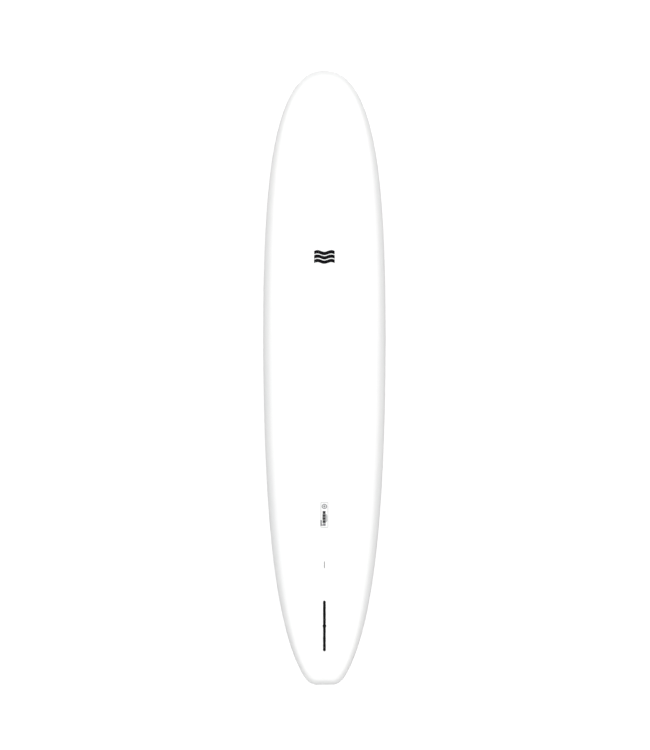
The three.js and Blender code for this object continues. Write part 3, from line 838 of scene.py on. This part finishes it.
def coin_slot():
    """A solid for the slot across the screw's head, with eased corners at its floor."""
    half, top = COIN_WIDTH / 2, COIN_DEPTH + COIN_OVER
    section = [(-half, top), (-half, COIN_EASE), (-COIN_FLAT, 0)]
    section += [(COIN_FLAT, 0), (half, COIN_EASE), (half, top)]
    floor = SCREW_TOP - COIN_DEPTH
    ends = (-COIN_REACH, COIN_REACH)
    return loft("coin_slot", [[(x, y, floor + z) for y, z in section] for x in ends])


def vent_screw(material):
    """The coin-slot screw: a head with eased edges on a threaded shank."""
    ease = HEAD_EASE
    profile = [(SCREW_MINOR, SCREW_HEAD_FLOOR), (SCREW_HEAD - HEAD_CHAMFER, SCREW_HEAD_FLOOR)]
    profile += [(SCREW_HEAD, SCREW_HEAD_FLOOR + HEAD_CHAMFER)]
    profile += arc_profile((SCREW_HEAD - ease, SCREW_TOP - ease), ease, 0, 90)
    profile += [(ON_AXIS, SCREW_TOP)]
    loops = [circle(ON_AXIS, SCREW_FLOOR, THREAD_SIDES)] + thread_loops()
    loops += [circle(r, h, THREAD_SIDES) for r, h in profile]
    made = loft("vent_coin_screw", loops)
    cut(made, coin_slot())
    made.data.transform(vent_place)
    return finish_piece(made, material, body="vent_plug", nodes=("vent_screw",))


def vent_ring(material):
    """The round seal under the screw's head."""
    angles = 2 * np.pi * np.arange(SEAL_STEPS) / SEAL_STEPS
    across = [SEAL_RADIUS + SEAL_SECTION * math.cos(a) for a in angles]
    up = [SEAL_HEIGHT + SEAL_SECTION * math.sin(a) for a in angles]
    made = turned("vent_seal_ring", list(zip(across, up)), vent_place, closed=True)
    return finish_piece(made, material, body="vent_seal", nodes=("vent_o_ring",))


# ---- printed marks -----------------------------------------------------------------------------

# a film's lower and upper side above the surface, and what each layer below it adds
INK_LOW, INK_HIGH, INK_LAYER = 0.02 * MM, 0.07 * MM, 0.06 * MM


def print_on_bottom(name, rows, material, closed=False, layer=0):
    """A thin printed film from rows of points on the board, each row running across its strip.
    The film follows the bottom of the board, on top of the films of the layers below it."""
    rows = np.array(rows, float)
    count, columns = rows.shape[:2]
    flat = rows.reshape(-1, 2)
    z = surface_at("bottom", flat[:, 0], flat[:, 1]) + layer * INK_LAYER
    low = np.column_stack([flat, z + INK_LOW])
    high = np.column_stack([flat, z + INK_HIGH])
    faces = grid_faces(count, columns, 0, close_rows=closed)
    faces += grid_faces(count, columns, len(flat), close_rows=closed)
    edges = []
    for k in (0, columns - 1):
        for i in range(count if closed else count - 1):
            edges.append((i * columns + k, (i + 1) % count * columns + k))
    if not closed:
        for i in (0, count - 1):
            edges += [(i * columns + k, i * columns + k + 1) for k in range(columns - 1)]
    faces += [(a, b, b + len(flat), a + len(flat)) for a, b in edges]
    made = add_object(name, np.concatenate([low, high]), faces)
    return finish_piece(made, material)


def y_at(distance):
    """Where a distance from the tail lies along Y."""
    return distance - HALF_LENGTH


EMBLEM_FROM_TAIL = 2015 * MM
EMBLEM_WIDTH, EMBLEM_HEIGHT = 97 * MM, 65 * MM
WAVE_COUNT, WAVE_CRESTS = 3, 1.5
WAVE_GAP, WAVE_RISE = 4 * MM, 4 * MM
WAVE_STEPS, WAVE_ROWS = 73, 6


def wave_emblem(material):
    """Three bold wave bands, one above the other."""
    thick = (EMBLEM_HEIGHT - 2 * WAVE_RISE - (WAVE_COUNT - 1) * WAVE_GAP) / WAVE_COUNT
    along = np.linspace(0, 1, WAVE_STEPS)
    lift = WAVE_RISE * np.sin(2 * np.pi * WAVE_CRESTS * along)
    for band in range(WAVE_COUNT):
        low = -EMBLEM_HEIGHT / 2 + WAVE_RISE + band * (thick + WAVE_GAP)
        rows = []
        for u, rise in zip(along, lift):
            y = y_at(EMBLEM_FROM_TAIL) + low + rise
            up = np.linspace(0, 1, WAVE_ROWS)
            rows.append([((u - 0.5) * EMBLEM_WIDTH, y + v * thick) for v in up])
        print_on_bottom(f"emblem_wave_{band + 1}", rows, material)


LABEL_FROM_TAIL = 805.3 * MM
LABEL_WIDTH, LABEL_LENGTH, LABEL_LINE, LABEL_ROUND = 35 * MM, 119.5 * MM, 1.9 * MM, 4 * MM
FRAME_AHEAD = -1.2 * MM
# the ring's place, its half sizes across and along, its line, and the dot in it
RING_AHEAD, RING_HALF, RING_LINE, RING_STEPS = 38.5 * MM, (13 * MM, 12 * MM), 4.6 * MM, 48
DOT_HALF, DOT_HOLE = 5 * MM, 0.5 * MM
BAR_ROWS = 10
# bars along the middle of the label and lines to their right, from corner to corner in mm across
# and ahead of its middle
BLOCKS = ((-8, 3, 5.2, 16.5), (-9, -11, 6, 2), (-9, -25, 6, -12), (-8.5, -39.5, 6, -26))
FOOT_BLOCK = (-7, -53, 6, -41.5)
LINES = ((7.2, -36, 8.7, 2), (9.7, -36, 11.2, 2), (12.2, -30, 13.7, -4))
CORNER_SIDE = (-19, -53, -12, -26)
CORNER_FOOT = (-12, -53, -7.8, -46)


def rounded_rectangle(width, length, radius, straight=10, arc=8):
    """A loop with rounded corners, as x and y."""
    corners = [(1, 1, 0), (-1, 1, 90), (-1, -1, 180), (1, -1, 270)]
    loop = []
    for index, (sx, sy, start) in enumerate(corners):
        centre = (sx * (width / 2 - radius), sy * (length / 2 - radius))
        loop += arc_profile(centre, radius, start, start + 90, arc)
        nx, ny, begin = corners[(index + 1) % 4]
        following = (nx * (width / 2 - radius), ny * (length / 2 - radius))
        here = loop[-1]
        there = arc_profile(following, radius, begin, begin, 1)[0]
        for t in np.linspace(0, 1, straight + 1)[1:-1]:
            loop.append((here[0] + (there[0] - here[0]) * t, here[1] + (there[1] - here[1]) * t))
    return loop


def bar(name, low, high, material, layer=0):
    """A straight printed bar along Y between two corners on the board."""
    rows = [[(x, y) for x in (low[0], high[0])] for y in np.linspace(low[1], high[1], BAR_ROWS)]
    return print_on_bottom(name, rows, material, layer=layer)


def label_bar(name, corners, material, layer=0):
    """A bar of the label, between two corners in mm across and ahead of its middle."""
    middle = y_at(LABEL_FROM_TAIL)
    left, start, right, end = (value * MM for value in corners)
    return bar(name, (left, middle + start), (right, middle + end), material, layer=layer)


def label_ring(name, outer, inner, material):
    """A closed ring of the label, between its outer half sizes and its inner ones."""
    turn = 2 * np.pi * np.arange(RING_STEPS) / RING_STEPS
    middle = y_at(LABEL_FROM_TAIL) + RING_AHEAD
    rows = [[(a * math.cos(t), middle + b * math.sin(t)) for a, b in (outer, inner)] for t in turn]
    print_on_bottom(name, rows, material, closed=True)


def spec_label(black, grey, pale):
    """A plain label: a thin frame with a ring, a row of blocks, a few lines and a corner mark."""
    middle = y_at(LABEL_FROM_TAIL)
    outer = rounded_rectangle(LABEL_WIDTH, LABEL_LENGTH, LABEL_ROUND)
    inner = rounded_rectangle(
        LABEL_WIDTH - 2 * LABEL_LINE, LABEL_LENGTH - 2 * LABEL_LINE, LABEL_ROUND - LABEL_LINE
    )
    rows = [[(x, middle + FRAME_AHEAD + y) for x, y in pair] for pair in zip(outer, inner)]
    print_on_bottom("label_frame", rows, pale, closed=True)
    inside = tuple(half - RING_LINE for half in RING_HALF)
    label_ring("label_ring", RING_HALF, inside, grey)
    label_ring("label_dot", (DOT_HALF, DOT_HALF), (DOT_HOLE, DOT_HOLE), grey)
    for k, corners in enumerate(BLOCKS):
        label_bar(f"label_block_{k + 1}", corners, black)
    label_bar("label_foot_block", FOOT_BLOCK, grey)
    for k, corners in enumerate(LINES):
        label_bar(f"label_line_{k + 1}", corners, grey)
    label_bar("label_corner_side", CORNER_SIDE, grey, layer=1)
    label_bar("label_corner_foot", CORNER_FOOT, grey, layer=1)


TICK_FROM_TAIL = 568.7 * MM
TICK_WIDTH, TICK_LENGTH = 3.1 * MM, 31 * MM


def centre_tick(ink):
    """The short line on the middle line ahead of the fin slot."""
    low = (-TICK_WIDTH / 2, y_at(TICK_FROM_TAIL) - TICK_LENGTH / 2)
    high = (TICK_WIDTH / 2, y_at(TICK_FROM_TAIL) + TICK_LENGTH / 2)
    bar("centre_tick", low, high, ink)


# ---- hidden parts that keep their CAD meshes ---------------------------------------------------


def dress(node, material):
    """A procedural material for a CAD node."""
    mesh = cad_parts[node].data
    mesh.materials.clear()
    mesh.materials.append(material)


# ---- scene -------------------------------------------------------------------------------------

FLOOR_SIZE, FLOOR_HEIGHT = 120.0, -0.5 * MM
# the camera's lens, how much the picture takes in across at the height of the rails, and where
# the camera stands over the board
LENS, SENSOR, FIELD, FAR = 200.0, 36.0, 3.5265, 200.0
CAMERA_TOWARDS_NOSE, CAMERA_ACROSS = 13 * MM, 2.8 * MM
# the broad light above: its strength, and its tilt from the vertical and width in degrees
KEY_STRENGTH, KEY_TILT, KEY_SPREAD = 3.88, 7.5, 30.0
# brightness of the studio by the sine of the height above the horizon: light thrown back from
# below, a pale band all round at the horizon, and dark walls and ceiling, so that nothing bright
# mirrors in the flat of the board
STUDIO = (
    (-1.0, 0.7), (-0.75, 0.7), (-0.6, 0.04), (-0.08, 0.04), (-0.04, 0.5),
    (0.1, 0.5), (0.14, 0.04), (0.7, 0.04), (0.92, 0.015), (1.0, 0.01),
)


def add_floor():
    """A wide floor just under the board, which throws no light back at it."""
    half = FLOOR_SIZE / 2
    corners = ((-half, -half), (half, -half), (half, half), (-half, half))
    floor = add_object("floor", [(x, y, FLOOR_HEIGHT) for x, y in corners], [(0, 1, 2, 3)])
    floor.data.materials.append(floor_look())
    floor.visible_diffuse = False


def add_light():
    """A broad light above, and a studio whose brightness depends on height alone."""
    sun = bpy.data.lights.new("soft_key", "SUN")
    sun.energy = KEY_STRENGTH
    sun.angle = math.radians(KEY_SPREAD)
    holder = bpy.data.objects.new("soft_key", sun)
    holder.rotation_euler = (-math.radians(KEY_TILT), 0, 0)
    holder.visible_glossy = False
    bpy.context.scene.collection.objects.link(holder)
    world = bpy.data.worlds.new("studio")
    bpy.context.scene.world = world
    world.use_nodes = True
    nodes, links = world.node_tree.nodes, world.node_tree.links
    direction = nodes.new("ShaderNodeTexCoord")
    split = nodes.new("ShaderNodeSeparateXYZ")
    height = nodes.new("ShaderNodeMapRange")
    height.inputs["From Min"].default_value = -1
    ramp = nodes.new("ShaderNodeValToRGB")
    elements = ramp.color_ramp.elements
    while len(elements) < len(STUDIO):
        elements.new(1.0)
    for element, (sine, level) in zip(elements, STUDIO):
        element.position = (sine + 1) / 2
        element.color = (level, level, level, 1)
    links.new(direction.outputs["Generated"], split.inputs["Vector"])
    links.new(split.outputs["Z"], height.inputs["Value"])
    links.new(height.outputs["Result"], ramp.inputs["Fac"])
    links.new(ramp.outputs["Color"], nodes["Background"].inputs["Color"])


def add_camera():
    """A long lens straight above the board, nose up in the picture."""
    camera = bpy.data.cameras.new("camera")
    camera.lens = LENS
    camera.sensor_width = SENSOR
    camera.clip_end = FAR
    holder = bpy.data.objects.new("camera", camera)
    rail_height = float(bottom_line(0.0)) - THICKNESS * BOTTOM_SHARE
    holder.location = (CAMERA_ACROSS, CAMERA_TOWARDS_NOSE, rail_height + FIELD * LENS / SENSOR)
    bpy.context.scene.collection.objects.link(holder)
    bpy.context.scene.camera = holder


white = shell_look()
plastic = plastic_look()
ink_black = ink_look("ink_black", (0.004, 0.004, 0.005), (0.008, 0.008, 0.009))
ink_grey = ink_look("ink_grey", (0.2, 0.2, 0.21), (0.25, 0.25, 0.26))
ink_pale = ink_look("ink_pale_grey", (0.34, 0.34, 0.35), (0.4, 0.4, 0.41))
ink_dark = ink_look("ink_dark_grey", (0.035, 0.035, 0.037), (0.055, 0.055, 0.057))

bottom_shell(white)
deck_shell(white)
fin_box(plastic)
leash_cup(plastic)
leash_bar(steel_look("brushed_steel_bar", (0.05, 1, 1)))
vent_housing(plastic)
thread_sleeve(brass_look())
vent_screw(steel_look("turned_steel_screw", None, vent_place.translation))
vent_ring(rubber_look())
wave_emblem(ink_black)
spec_label(ink_dark, ink_grey, ink_pale)
centre_tick(ink_dark)

bead_foam = bead_foam_look()
dense_foam = dense_foam_look()
dress("core_left", bead_foam)
dress("core_right", bead_foam)
dress("stringer", wood_look())
for insert in ("fin_box_insert", "leash_plug_insert", "vent_insert"):
    dress(insert, dense_foam)

add_floor()
add_light()
add_camera()
bpy.context.scene.view_settings.view_transform = "Standard"
